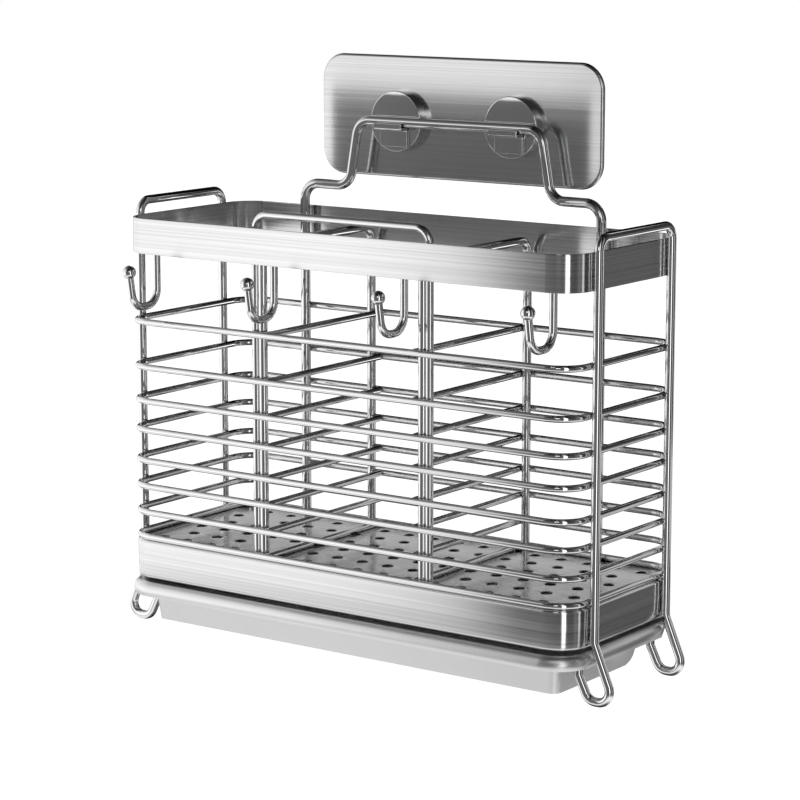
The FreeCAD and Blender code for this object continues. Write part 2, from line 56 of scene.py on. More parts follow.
PAN_BOTTOM = -167.9
PAN_GAUGE = 0.8
PAN_SHOULDER = 1.4
PAN_HEM = 3.5
SKIRT_STRAIGHT = 6.5
SKIRT_STEPS = 6
SKIRT_LEAN = 0.4
HOLE_SIZE = 5.0
HOLE_PITCH = 14.0
HOLES_ALONG = 16
HOLE_ROWS = 6
DIMPLE_WIDTH = 0.6
DIMPLE_DEPTH = 0.3
RING_SHARES = (0.3216, 0.463, 0.5695, 0.6611, 0.758, 0.8392, 0.9219, 1.0)
RING_HEIGHTS = [(PAN_TOP + RING_WIRE / 2) * share for share in RING_SHARES]

FRAME_WIRE = 4.0
FRAME_X = HALF_LENGTH + FRAME_WIRE / 2
FRAME_Y = 29.7
FRAME_RISE = 5.9
FRAME_BEND = 6.0
FOOT_BEND = 5.4
FOOT_LOW = -191.0
FOOT_TIP = -170.4
FOOT_TIP_IN = FOOT_BEND * 1.38
FOOT_TIP_BEND = FOOT_BEND * 0.5
FOOT_CLIMB = FOOT_BEND * 1.95
FOOT_SOLE_IN = FOOT_BEND * 0.43
FOOT_SOLE_OUT = FOOT_BEND * 1.96
FOOT_END_ROUND = 1.2
GUARD_WIRE = 3.5
GUARD_X = 47.18
GUARD_Y = -41.05
GUARD_RISE = 5.8
GUARD_BEND = 7.0
DIVIDER_WIRE = 4.0
DIVIDER_X = 43.43
DIVIDER_Y = 40.8
DIVIDER_TOP = -7.5
RUNG_X = 39.93
HOOK_WIRE = 3.5
HOOK_BEND = 7.4
HOOK_BALL = 6.2
HOOK_TIP = (-62.0, -22.4)
HOOK_LOW = -39.03
HOOK_TIP_LEAN = HOOK_WIRE * 0.8
HOOK_STEMS = ((-103.09, -43.05), (-35.26, -43.05), (35.26, -43.05), (110.41, -42.79))

TRAY_HALF = 123.8
TRAY_DEEP = 46.8
TRAY_Y = -2.0
TRAY_CORNER = 16.0
TRAY_TOP = -169.3
TRAY_BOTTOM = -188.7
TRAY_LIP = 5.5
TRAY_LIP_LEAN = 1.2
TRAY_GAUGE = 0.8
TRAY_LIP_ROUND = 4.6
WELL_HALF = 112.4
WELL_DEEP = 35.3
WELL_Y = -4.5
WELL_REAR_ROUND = 6.0
WELL_ROUND_STEPS = 6
WELL_CORNER = 4.0
WELL_TAPER = 7.0
WELL_MOUTH_ROUND = 1.0
WELL_FLOOR_ROUND = 1.6

PLATE_HALF = 77.3
PLATE_RISE = 28.1
PLATE_CORNER = 12.0
PLATE_GAUGE = 1.5
PLATE_EDGE = 1.4
PAD_GAUGE = 1.0
PAD_INSET = 3.0
PAD_EDGE = 0.15
BOSS_SIZE = 28.0
BOSS_HEIGHT = 5.0
BOSS_X = 31.65
BOSS_Z = -1.8
BOSS_EDGE = 0.5
TONGUE_WIDTH = 15.0
TONGUE_GAUGE = 1.5
TONGUE_BEND = 1.35
TONGUE_EDGE = 0.3
TONGUE_FOOT = -13.35
TONGUE_SEAT = -5.1
TONGUE_TIP = -2.35
TONGUE_FRONT = -13.75
HANGER_WIRE = 4.5
HANGER_Y = 40.55
HANGER_BEND = 8.0
HANGER_TOP = (50.2, 41.9)
HANGER_RUN = (55.7, 11.0)
HANGER_LEG = 82.0

WIRE_SIDES = 28
BEND_STEP = math.radians(7.5)
CORNER_STEPS = 16
HOLE_SIDES = 24
BOSS_SIDES = 72
WIRE_END_ROUND = 0.25
NEAR = 0.01


# Colours and nodes
def paint(code):
    """Turns an sRGB hex value into the linear colour that a shader takes."""
    channels = [int(code[i:i + 2], 16) / 255 for i in (1, 3, 5)]
    linear = [c / 12.92 if c <= 0.04045 else ((c + 0.055) / 1.055) ** 2.4 for c in channels]
    return (*linear, 1.0)


def add_node(tree, kind, values=None, links=None, levels=(), **settings):
    """Adds one node with its settings, socket values and links, and a ramp's places and grey levels."""
    node = tree.nodes.new("ShaderNode" + kind)
    for name, setting in settings.items():
        setattr(node, name, setting)
    for socket, value in (values or {}).items():
        node.inputs[socket].default_value = value
    for socket, output in (links or {}).items():
        tree.links.new(output, node.inputs[socket])
    if levels:
        stops = node.color_ramp.elements
        while len(stops) < len(levels):
            stops.new(0.5)
        for stop, (place, level) in zip(stops, levels):
            stop.position = place
        for stop, (place, level) in zip(stops, levels):
            stop.color = (level, level, level, 1)
    return node


def new_finish(name):
    """A material with an empty tree, and that tree."""
    finish = bpy.data.materials.new(name)
    finish.use_nodes = True
    finish.node_tree.nodes.clear()
    return finish, finish.node_tree


def brushed_sheet():
    """Stainless sheet brushed along its length: fine level streaks that smear reflections up and down."""
    finish, tree = new_finish("stainless_sheet_brushed")
    where = add_node(tree, "TexCoord")
    facing = add_node(tree, "NewGeometry")
    upright = add_node(tree, "SeparateXYZ", links={"Vector": facing.outputs["Normal"]})
    steepness = add_node(tree, "Math", links={0: upright.outputs["Z"]}, operation="ABSOLUTE")
    level = add_node(tree, "Math", {1: 0.7}, {0: steepness.outputs[0]}, operation="GREATER_THAN")
    # Streaks are 300 mm long and 0.1 mm wide on the real sheet; drawn 0.9 mm wide, or they would not show
    long_way = 1000 / 300
    across = 1000 / 0.9
    on_walls = add_node(tree, "Mapping", {"Scale": (long_way, long_way, across)},
                        {"Vector": where.outputs["Object"]})
    on_floors = add_node(tree, "Mapping", {"Scale": (long_way, across, long_way)},
                         {"Vector": where.outputs["Object"]})
    # A mix node takes vectors in its sockets 4 and 5, colours in 6 and 7
    chosen = add_node(tree, "Mix", links={"Factor": level.outputs[0], 4: on_walls.outputs[0],
                                          5: on_floors.outputs[0]}, data_type="VECTOR")
    streaks = add_node(tree, "TexNoise", {"Scale": 1.0, "Detail": 1.0, "Roughness": 0.5},
                       {"Vector": chosen.outputs[1]})
    clouds = add_node(tree, "TexNoise", {"Scale": 1000 / 40, "Detail": 2.0},
                      {"Vector": where.outputs["Object"]})
    contrast = add_node(tree, "MapRange", {"From Min": 0.3, "From Max": 0.7},
                        {"Value": streaks.outputs[0]})
    tone = add_node(tree, "Mix", {6: paint("#C8C8C9"), 7: paint("#DADADB")},
                    {"Factor": contrast.outputs[0]}, data_type="RGBA")
    streak_gloss = add_node(tree, "MapRange", {"To Min": 0.15, "To Max": 0.19},
                            {"Value": contrast.outputs[0]})
    cloud_gloss = add_node(tree, "MapRange", {"To Min": -0.02, "To Max": 0.02},
                           {"Value": clouds.outputs[0]})
    gloss = add_node(tree, "Math", links={0: streak_gloss.outputs[0], 1: cloud_gloss.outputs[0]},
                     operation="ADD")
    relief = add_node(tree, "Bump", {"Strength": 0.05, "Distance": 0.00003}, {"Height": streaks.outputs[0]})
    # Reflections smear across the streaks: upright on walls, from front to back on floors
    across_streaks = add_node(tree, "CombineXYZ", {"Y": 0.05, "Z": 1.0})
    steel = add_node(tree, "BsdfPrincipled", {"Metallic": 1.0, "Anisotropic": 0.85},
                     {"Base Color": tone.outputs[2], "Roughness": gloss.outputs[0],
                      "Normal": relief.outputs[0], "Tangent": across_streaks.outputs[0]})
    add_node(tree, "OutputMaterial", links={"Surface": steel.outputs[0]})
    return finish


def satin_sheet():
    """Pressed stainless sheet with a fine satin grain: soft, even reflections with faint press clouds."""
    finish, tree = new_finish("stainless_sheet_satin_pressed")
    where = add_node(tree, "TexCoord")
    # Satin grain is about 0.1 mm; drawn at 0.5 mm by 4 mm so that it shows
    grain_way = add_node(tree, "Mapping", {"Scale": (1000 / 4, 1000 / 4, 1000 / 0.5)},
                         {"Vector": where.outputs["Object"]})
    grain = add_node(tree, "TexNoise", {"Scale": 1.0, "Detail": 3.0}, {"Vector": grain_way.outputs[0]})
    clouds = add_node(tree, "TexNoise", {"Scale": 1000 / 30, "Detail": 2.0},
                      {"Vector": where.outputs["Object"]})
    tone = add_node(tree, "Mix", {6: paint("#D4D4D4"), 7: paint("#DEDEDE")}, {"Factor": grain.outputs[0]},
                    data_type="RGBA")
    grain_gloss = add_node(tree, "MapRange", {"To Min": 0.31, "To Max": 0.39}, {"Value": grain.outputs[0]})
    cloud_gloss = add_node(tree, "MapRange", {"To Min": -0.04, "To Max": 0.04},
                           {"Value": clouds.outputs[0]})
    gloss = add_node(tree, "Math", links={0: grain_gloss.outputs[0], 1: cloud_gloss.outputs[0]},
                     operation="ADD")
    relief = add_node(tree, "Bump", {"Strength": 0.04, "Distance": 0.00003}, {"Height": grain.outputs[0]})
    steel = add_node(tree, "BsdfPrincipled", {"Metallic": 1.0},
                     {"Base Color": tone.outputs[2], "Roughness": gloss.outputs[0],
                      "Normal": relief.outputs[0]})
    add_node(tree, "OutputMaterial", links={"Surface": steel.outputs[0]})
    return finish


def polished_steel(name, ripple):
    """Electropolished stainless: near mirror, with the slow ripple that drawing and polishing leave."""
    finish, tree = new_finish(name)
    where = add_node(tree, "TexCoord")
    waves = add_node(tree, "TexNoise", {"Scale": 1000 / 25, "Detail": 0.0},
                     {"Vector": where.outputs["Object"]})
    haze = add_node(tree, "TexNoise", {"Scale": 1000 / 20, "Detail": 1.0},
                    {"Vector": where.outputs["Object"]})
    tone = add_node(tree, "Mix", {6: paint("#D6D6D7"), 7: paint("#DEDEDE")}, {"Factor": haze.outputs[0]},
                    data_type="RGBA")
    gloss = add_node(tree, "MapRange", {"From Min": 0.3, "From Max": 0.7, "To Min": 0.05, "To Max": 0.07},
                     {"Value": haze.outputs[0]})
    relief = add_node(tree, "Bump", {"Strength": ripple, "Distance": 0.0002}, {"Height": waves.outputs[0]})
    steel = add_node(tree, "BsdfPrincipled", {"Metallic": 1.0},
                     {"Base Color": tone.outputs[2], "Roughness": gloss.outputs[0],
                      "Normal": relief.outputs[0]})
    add_node(tree, "OutputMaterial", links={"Surface": steel.outputs[0]})
    return finish


def adhesive_foam():
    """Acrylic foam tape, die cut: matt off-white with fine closed cells."""
    finish, tree = new_finish("acrylic_foam_die_cut")
    where = add_node(tree, "TexCoord")
    cells = add_node(tree, "TexVoronoi", {"Scale": 1000 / 0.6}, {"Vector": where.outputs["Object"]})
    mottle = add_node(tree, "TexNoise", {"Scale": 1000 / 6, "Detail": 3.0},
                      {"Vector": where.outputs["Object"]})
    tone = add_node(tree, "Mix", {6: paint("#DAD9D4"), 7: paint("#ECEBE7")}, {"Factor": mottle.outputs[0]},
                    data_type="RGBA")
    gloss = add_node(tree, "MapRange", {"To Min": 0.7, "To Max": 0.9}, {"Value": mottle.outputs[0]})
    relief = add_node(tree, "Bump", {"Strength": 0.4, "Distance": 0.0001},
                      {"Height": cells.outputs["Distance"]})
    foam = add_node(tree, "BsdfPrincipled", {"IOR": 1.48},
                    {"Base Color": tone.outputs[2], "Roughness": gloss.outputs[0],
                     "Normal": relief.outputs[0]})
    add_node(tree, "OutputMaterial", links={"Surface": foam.outputs[0]})
    return finish


FINISHES = {
    "brushed_sheet": brushed_sheet(),
    "satin_sheet": satin_sheet(),
    "polished_sheet": polished_steel("stainless_sheet_polished", 0.05),
    "polished_wire": polished_steel("stainless_wire_electropolished", 0.015),
    "adhesive_foam": adhesive_foam(),
}


# Making pieces
def of_kind(kind, made):
    """The vertices, edges or faces among what an operator made."""
    return [item for item in made if isinstance(item, kind)]


def body_of_node(node):
    """The moving body that carries a CAD node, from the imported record."""
    bodies = frame["record"]["behaviour"]["bodies"]
    return next(body for body, members in bodies.items() if node in members)


def piece(name, bm, node, slot, place=BASKET_PLACE):
    """Makes a finished mesh an object in the place of a CAD node."""
    bmesh.ops.recalc_face_normals(bm, faces=bm.faces[:])
    in_metres = Matrix.Scale(0.001, 4) @ Matrix.Translation(place)
    bmesh.ops.transform(bm, matrix=in_metres, verts=bm.verts[:])
    mesh = bpy.data.meshes.new(name)
    bm.to_mesh(mesh)
    bm.free()
    mesh.shade_smooth()
    mesh.set_sharp_from_angle(angle=math.radians(35))
    mesh.materials.append(FINISHES[slot])
    made = bpy.data.objects.new(name, mesh)
    bpy.context.scene.collection.objects.link(made)
    even = made.modifiers.new("even_shading", "WEIGHTED_NORMAL")
    even.keep_sharp = True
    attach(made, body_of_node(node))
    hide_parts(node)


def crease_edges(bm, least=40):
    """Edges where two faces meet at a clear angle."""
    folded = [edge for edge in bm.edges if len(edge.link_faces) == 2]
    return [edge for edge in folded if edge.calc_face_angle() > math.radians(least)]


def soften(bm, edges, radius, steps=3):
    """Rounds edges."""
    bmesh.ops.bevel(bm, geom=edges, offset=radius, segments=steps, profile=0.5, affect="EDGES",
                    material=-1, clamp_overlap=True)


def draw_out(bm, edges, move):
    """Draws edges out along a line and gives back the new edges."""
    made = bmesh.ops.extrude_edge_only(bm, edges=edges)["geom"]
    moved = set(of_kind(bmesh.types.BMVert, made))
    bmesh.ops.translate(bm, vec=move, verts=list(moved))
    return [edge for edge in of_kind(bmesh.types.BMEdge, made) if all(vert in moved for vert in edge.verts)]


def draw_in(bm, parts, narrowing, half_x, half_y, middle_y=0.0):
    """Draws edges or faces in towards the middle of a piece of the given half sizes."""
    shrink = Vector((1 - narrowing / half_x, 1 - narrowing / half_y, 1))
    moved = list({vert for part in parts for vert in part.verts})
    bmesh.ops.scale(bm, vec=shrink, verts=moved, space=Matrix.Translation((0, -middle_y, 0)))


def raise_faces(bm, faces, move):
    """Draws faces out along a line and gives back the new faces."""
    made = bmesh.ops.extrude_face_region(bm, geom=faces)["geom"]
    bmesh.ops.translate(bm, vec=move, verts=of_kind(bmesh.types.BMVert, made))
    return of_kind(bmesh.types.BMFace, made)


def bend(bm, corners, section, closed=False, end_round=WIRE_END_ROUND):
    """Bends a bar along corners, each a point and its bend radius: runs are drawn, bends spun."""
    points = [Vector(corner[:3]) for corner in corners]
    radii = [corner[3] for corner in corners]
    if closed:
        seam = (points[-1] + points[0]) / 2
        points = [seam, *points, seam]
        radii = [0, *radii, 0]
    heading = (points[1] - points[0]).normalized()
    facing = heading.to_track_quat("Z", "Y").to_matrix().to_4x4()
    first = section(bm, Matrix.Translation(points[0]) @ facing)
    edges = first
    spot = points[0]
    for point, radius, following in zip(points[1:-1], radii[1:-1], points[2:]):
        inward = (point - spot).normalized()
        outward = (following - point).normalized()
        turn = inward.angle(outward)
        reach = radius * math.tan(turn / 2)
        entry = point - inward * reach
        edges = draw_out(bm, edges, entry - spot)
        axis = inward.cross(outward).normalized()
        steps = max(2, math.ceil(turn / BEND_STEP))
        middle = entry + axis.cross(inward) * radius
        spun = bmesh.ops.spin(bm, geom=edges, cent=middle, axis=axis, angle=turn, steps=steps)
        edges = of_kind(bmesh.types.BMEdge, spun["geom_last"])
        spot = point + outward * reach
    edges = draw_out(bm, edges, points[-1] - spot)
    if closed:
        bmesh.ops.remove_doubles(bm, verts=bm.verts[:], dist=0.001)
    else:
        bmesh.ops.edgeloop_fill(bm, edges=first)
        bmesh.ops.edgeloop_fill(bm, edges=edges)
        if end_round:
            soften(bm, first + edges, end_round)


def circle_edges(bm, sides, radius, at):
    """The edges of a circle, for a round bar or a punched hole."""
    made = bmesh.ops.create_circle(bm, segments=sides, radius=radius, matrix=at)["verts"]
    return list({edge for vert in made for edge in vert.link_edges})


def round_bar(thickness):
    """A round section for bending."""
    def section(bm, at):
        return circle_edges(bm, WIRE_SIDES, thickness / 2, at)
    return section


def flat_bar(bm, at):
    """The flat section of the tongues, for bending."""
    shape = at @ Matrix.Diagonal((TONGUE_WIDTH / 2, TONGUE_GAUGE / 2, 1, 1))
    made = bmesh.ops.create_grid(bm, x_segments=1, y_segments=1, size=1, matrix=shape)["verts"]
    loop = list({edge for vert in made for edge in vert.link_edges})
    bmesh.ops.delete(bm, geom=bm.faces[:], context="FACES_ONLY")
    return loop


def bent_wire(name, corners, thickness, closed=False, end_round=WIRE_END_ROUND):
    """One wire of the basket, in the place of the node of its name."""
    bm = bmesh.new()
    bend(bm, corners, round_bar(thickness), closed, end_round)
    piece("bent_" + name, bm, name, "polished_wire")


def rounded_sheet(half_x, half_y, radius, height=0.0, middle_y=0.0):
    """A flat face with rounded corners, to be drawn out into a sheet piece."""
    bm = bmesh.new()
    size = Matrix.Diagonal((half_x, half_y, 1, 1))
    at = Matrix.Translation((0, middle_y, height)) @ size
    bmesh.ops.create_grid(bm, x_segments=1, y_segments=1, size=1, matrix=at)
    bmesh.ops.bevel(bm, geom=bm.verts[:], offset=radius, segments=CORNER_STEPS, profile=0.5,
                    affect="VERTICES", material=-1)
    return bm


# Rings, frames, guard, dividers and hanger
ring_x = HALF_LENGTH - RING_WIRE / 2
ring_y = HALF_DEPTH - RING_WIRE / 2
ring_bend = CORNER - RING_WIRE / 2
for number, height in enumerate(RING_HEIGHTS, 1):
    bent_wire("wire_ring_%d" % number, [
        (-ring_x, -ring_y, height, ring_bend),
        (ring_x, -ring_y, height, ring_bend),
        (ring_x, ring_y, height, ring_bend),
        (-ring_x, ring_y, height, ring_bend),
    ], RING_WIRE, closed=True)

for side, sign in (("left", -1), ("right", 1)):
    foot = [
        (FRAME_X - FOOT_TIP_IN, FOOT_TIP, 0),
        (FRAME_X - FOOT_TIP_IN, FOOT_LOW + FOOT_CLIMB, FOOT_TIP_BEND),
        (FRAME_X - FOOT_SOLE_IN, FOOT_LOW, FOOT_BEND),
        (FRAME_X + FOOT_SOLE_OUT, FOOT_LOW, FOOT_BEND),
        (FRAME_X, PAN_BOTTOM + FRAME_WIRE / 2, FRAME_BEND),
        (FRAME_X, FRAME_RISE, FRAME_BEND),
    ]
    front = [(sign * x, -FRAME_Y, z, radius) for x, z, radius in foot]
    rear = [(sign * x, FRAME_Y, z, radius) for x, z, radius in reversed(foot)]
    bent_wire(side + "_side_frame", front + rear, FRAME_WIRE, end_round=FOOT_END_ROUND)

bent_wire("front_guard", [
    (-GUARD_X, GUARD_Y, PAN_TOP, 0),
    (-GUARD_X, GUARD_Y, GUARD_RISE, GUARD_BEND),
    (GUARD_X, GUARD_Y, GUARD_RISE, GUARD_BEND),
    (GUARD_X, GUARD_Y, PAN_TOP, 0),
], GUARD_WIRE)

for side, sign in (("left", -1), ("right", 1)):
    bent_wire(side + "_divider_arch", [
        (sign * DIVIDER_X, -DIVIDER_Y, PAN_TOP, 0),
        (sign * DIVIDER_X, -DIVIDER_Y, DIVIDER_TOP, FRAME_BEND),
        (sign * DIVIDER_X, DIVIDER_Y, DIVIDER_TOP, FRAME_BEND),
        (sign * DIVIDER_X, DIVIDER_Y, PAN_TOP, 0),
    ], DIVIDER_WIRE)
    rungs = bmesh.new()
    rung_end = HALF_DEPTH - RING_WIRE
    for height in RING_HEIGHTS:
        bend(rungs, [(sign * RUNG_X, -rung_end, height, 0), (sign * RUNG_X, rung_end, height, 0)],
             round_bar(RING_WIRE))
    piece("cut_" + side + "_divider_rungs", rungs, side + "_divider_rungs", "polished_wire")

hanger_half = [
    (HANGER_LEG, PAN_TOP, 0),
    (HANGER_LEG, HANGER_RUN[1], HANGER_BEND),
    (*HANGER_RUN, HANGER_BEND),
    (*HANGER_TOP, HANGER_BEND),
]
hanger_left = [(-x, HANGER_Y, z, radius) for x, z, radius in hanger_half]
hanger_right = [(x, HANGER_Y, z, radius) for x, z, radius in reversed(hanger_half)]
bent_wire("hanger_wire", hanger_left + hanger_right, HANGER_WIRE)

# Hooks: a bent wire with a ball on its tip
tip_y, tip_z = HOOK_TIP
for number, (x, stem) in enumerate(HOOK_STEMS, 1):
    hook = bmesh.new()
    bend(hook, [
        (x, stem, -BAND_HEIGHT / 4, 0),
        (x, stem, HOOK_LOW, HOOK_BEND),
        (x, tip_y + HOOK_TIP_LEAN, HOOK_LOW, HOOK_BEND),
        (x, tip_y, tip_z, 0),
    ], round_bar(HOOK_WIRE))
    bmesh.ops.create_uvsphere(hook, u_segments=32, v_segments=20, radius=HOOK_BALL / 2,
                              matrix=Matrix.Translation((x, tip_y, tip_z)))
    name = "utensil_hook_%d" % number
    piece("bent_" + name, hook, name, "polished_wire")

# Top band: a strip rolled round, with its edges broken
band = rounded_sheet(HALF_LENGTH, HALF_DEPTH, CORNER)
middle = band.faces[:]
bmesh.ops.inset_region(band, faces=middle, thickness=BAND_GAUGE, use_even_offset=True, use_boundary=True)
bmesh.ops.delete(band, geom=middle, context="FACES")
raise_faces(band, band.faces[:], (0, 0, -BAND_HEIGHT))
soften(band, crease_edges(band), BAND_EDGE, 2)
piece("rolled_top_band", band, "top_band", "brushed_sheet")

# Bottom pan: floor and skirt pressed from one sheet, skirt easing in to a turned hem, drain holes dimpled
pan = rounded_sheet(HALF_LENGTH, HALF_DEPTH, CORNER, PAN_TOP)
skirt_line = draw_out(pan, pan.edges[:], (0, 0, -SKIRT_STRAIGHT))
skirt_step = (PAN_TOP - PAN_BOTTOM - SKIRT_STRAIGHT) / SKIRT_STEPS
for number in range(SKIRT_STEPS):
    skirt_line = draw_out(pan, skirt_line, (0, 0, -skirt_step))
    lean = SKIRT_LEAN * (2 * number + 1) / SKIRT_STEPS ** 2
    draw_in(pan, skirt_line, lean, HALF_LENGTH, HALF_DEPTH)
bmesh.ops.edgeloop_fill(pan, edges=skirt_line)
bmesh.ops.recalc_face_normals(pan, faces=pan.faces[:])
soften(pan, crease_edges(pan), PAN_SHOULDER, 5)
underside = [face for face in pan.faces if face.calc_center_median().z < PAN_BOTTOM + NEAR]
bmesh.ops.inset_region(pan, faces=underside, thickness=PAN_HEM - PAN_SHOULDER, use_even_offset=True)
bmesh.ops.delete(pan, geom=underside, context="FACES")
pan_floor = [face for face in pan.faces if face.calc_center_median().z > PAN_TOP - NEAR]
floor_line = [edge for face in pan_floor for edge in face.edges]
bmesh.ops.delete(pan, geom=pan_floor, context="FACES_ONLY")
for row in range(HOLE_ROWS):
    y = HOLE_PITCH * (row - (HOLE_ROWS - 1) / 2)
    start = -HOLE_PITCH * (HOLES_ALONG - 0.5) / 2 + HOLE_PITCH / 2 * (row % 2)
    for hole in range(HOLES_ALONG):
        x = start + HOLE_PITCH * hole
        above = Matrix.Translation((x, y, PAN_TOP))
        below = Matrix.Translation((x, y, PAN_TOP - DIMPLE_DEPTH))
        dimple = circle_edges(pan, HOLE_SIDES, HOLE_SIZE / 2 + DIMPLE_WIDTH, above)
        punched = circle_edges(pan, HOLE_SIDES, HOLE_SIZE / 2, below)
        bmesh.ops.bridge_loops(pan, edges=dimple + punched)
        floor_line += dimple
bmesh.ops.triangle_fill(pan, edges=floor_line, use_beauty=True, normal=(0, 0, 1))
bmesh.ops.recalc_face_normals(pan, faces=pan.faces[:])
bmesh.ops.solidify(pan, geom=pan.faces[:], thickness=PAN_GAUGE)
piece("punched_bottom_pan", pan, "bottom_pan", "brushed_sheet")

# Drip tray: a flat rim round a tapered well, its lip turned down and under except at the rear
# The sheet's underside is drawn, and its gauge goes on above
rim_under = TRAY_TOP - TRAY_GAUGE
tray = rounded_sheet(TRAY_HALF, TRAY_DEEP, TRAY_CORNER, rim_under, TRAY_Y)
rim = tray.edges[:]
well_sheet = rounded_sheet(WELL_HALF, WELL_DEEP, WELL_CORNER, rim_under, WELL_Y)
spare = bpy.data.meshes.new("well_outline")
well_sheet.to_mesh(spare)
well_sheet.free()
tray.from_mesh(spare)
bpy.data.meshes.remove(spare)
bmesh.ops.delete(tray, geom=tray.faces[:], context="FACES_ONLY")
mouth = [edge for edge in tray.edges if edge not in rim]
bmesh.ops.bridge_loops(tray, edges=rim + mouth)
lip_end = TRAY_Y + TRAY_DEEP - TRAY_CORNER + NEAR
lip_line = [edge for edge in rim if all(vert.co.y < lip_end for vert in edge.verts)]
lip = draw_out(tray, lip_line, (0, 0, -TRAY_LIP))
draw_in(tray, lip, TRAY_LIP_LEAN, TRAY_HALF, TRAY_DEEP, TRAY_Y)
well_depth = rim_under - TRAY_BOTTOM
slope = math.tan(math.radians(WELL_TAPER))
round_step = (WELL_REAR_ROUND + TRAY_GAUGE) / WELL_ROUND_STEPS
drops = [well_depth - round_step * WELL_ROUND_STEPS] + [round_step] * WELL_ROUND_STEPS
well_line = mouth
eased = 0.0
for number, drop in enumerate(drops):
    well_line = draw_out(tray, well_line, (0, 0, -drop))
    draw_in(tray, well_line, drop * slope, WELL_HALF, WELL_DEEP, WELL_Y)
    ease = WELL_REAR_ROUND * (1 - math.sqrt(1 - (number / WELL_ROUND_STEPS) ** 2))
    rear = {vert for edge in well_line for vert in edge.verts if vert.co.y > WELL_Y}
    bmesh.ops.translate(tray, vec=(0, eased - ease, 0), verts=list(rear))
    eased = ease
bmesh.ops.edgeloop_fill(tray, edges=well_line)
well_creases = set(crease_edges(tray))
soften(tray, [edge for edge in well_line if edge in well_creases], WELL_FLOOR_ROUND, 6)
soften(tray, mouth, WELL_MOUTH_ROUND, 4)
soften(tray, lip_line, TRAY_LIP_ROUND, 10)
bmesh.ops.recalc_face_normals(tray, faces=tray.faces[:])
bmesh.ops.solidify(tray, geom=tray.faces[:], thickness=TRAY_GAUGE)
piece("pressed_drip_tray", tray, "drip_tray", "satin_sheet")

# Wall side: plate, pad, bosses and tongues; drawn flat and turned to face the front
TO_FRONT = Matrix.Rotation(math.radians(90), 4, "X")


def turn_to_front(bm):
    """Turns a piece drawn flat so that its top faces the front."""
    bmesh.ops.transform(bm, matrix=TO_FRONT, verts=bm.verts[:])


pad = rounded_sheet(PLATE_HALF - PAD_INSET, PLATE_RISE - PAD_INSET, PLATE_CORNER - PAD_INSET)
raise_faces(pad, pad.faces[:], (0, 0, PAD_GAUGE))
soften(pad, crease_edges(pad), PAD_EDGE, 2)
turn_to_front(pad)
piece("cut_adhesive_pad", pad, "adhesive_pad", "adhesive_foam", WALL_PLACE)

plate = rounded_sheet(PLATE_HALF, PLATE_RISE, PLATE_CORNER, PAD_GAUGE)
plate_front = PAD_GAUGE + PLATE_GAUGE
raise_faces(plate, plate.faces[:], (0, 0, PLATE_GAUGE))
front_edge = [edge for edge in crease_edges(plate) if edge.verts[0].co.z > plate_front - NEAR]
soften(plate, front_edge, PLATE_EDGE, 6)
turn_to_front(plate)
piece("blanked_wall_plate", plate, "wall_plate", "brushed_sheet", WALL_PLACE)

boss_front = plate_front + BOSS_HEIGHT
for side, sign in (("left", -1), ("right", 1)):
    boss = bmesh.new()
    bmesh.ops.create_circle(boss, cap_ends=True, segments=BOSS_SIDES, radius=BOSS_SIZE / 2,
                            matrix=Matrix.Translation((sign * BOSS_X, BOSS_Z, plate_front)))
    raise_faces(boss, boss.faces[:], (0, 0, BOSS_HEIGHT))
    boss_edge = [edge for edge in crease_edges(boss) if edge.verts[0].co.z > boss_front - NEAR]
    soften(boss, boss_edge, BOSS_EDGE, 4)
    turn_to_front(boss)
    piece("turned_" + side + "_hook_boss", boss, side + "_hook_boss", "polished_sheet", WALL_PLACE)

    tongue = bmesh.new()
    tongue_back = -boss_front - TONGUE_GAUGE / 2
    bend(tongue, [
        (sign * BOSS_X, tongue_back, TONGUE_FOOT, 0),
        (sign * BOSS_X, tongue_back, TONGUE_SEAT, TONGUE_BEND),
        (sign * BOSS_X, TONGUE_FRONT, TONGUE_SEAT, TONGUE_BEND),
        (sign * BOSS_X, TONGUE_FRONT, TONGUE_TIP, 0),
    ], flat_bar, end_round=0)
    soften(tongue, crease_edges(tongue, 60), TONGUE_EDGE, 3)
    piece("folded_" + side + "_hook_tongue", tongue, side + "_hook_tongue", "polished_sheet",
          WALL_PLACE)

# Camera at the photograph's viewing angle, in metres and degrees
CAMERA_PLACE = (0.71641, -1.04780, 0.09950)
CAMERA_LENS = 124.872
CAMERA_DOWN = 10.256
CAMERA_TURN = 35.6205
camera = bpy.data.objects.new("camera", bpy.data.cameras.new("camera"))
bpy.context.scene.collection.objects.link(camera)
camera.data.sensor_width = 36
camera.data.lens = CAMERA_LENS
camera.data.clip_start = 0.01
camera.location = CAMERA_PLACE
camera.rotation_euler = (math.radians(90 - CAMERA_DOWN), 0, math.radians(CAMERA_TURN))
bpy.context.scene.camera = camera

# Studio: a pale floor far below the hung basket and, out of the picture, a tent of panels and flags
STUDIO_MIDDLE = Vector((0, -0.05, -0.1))
STUDIO_RADIUS = 0.62
HANGING_RADIUS = STUDIO_RADIUS * 0.85
FLOOR_HEIGHT = -0.9
FLOOR_RADIUS = 12
# Brightness by bearing, in degrees from straight ahead of the basket towards its right
BEARINGS = (
    (-180, 0.01), (-150, 0.01), (-117, 0.03), (-111, 1.20), (-60, 1.45), (-34, 1.45), (-31, 1.34),
    (-27, 1.15), (-24.2, 0.66), (-23.2, 0.20), (-21.5, 0.13), (-19, 0.20), (0, 0.17), (46, 0.13),
    (47.5, 2.60), (57, 2.60), (58.5, 0.10), (78, 0.10), (86, 0.22), (95, 0.14), (97, 1.00),
    (101, 1.00), (103, 0.05), (125, 0.08), (135, 0.14), (150, 0.14), (151.5, 2.20), (158, 2.20),
    (159.5, 0.05), (168, 0.02), (180, 0.01),
)
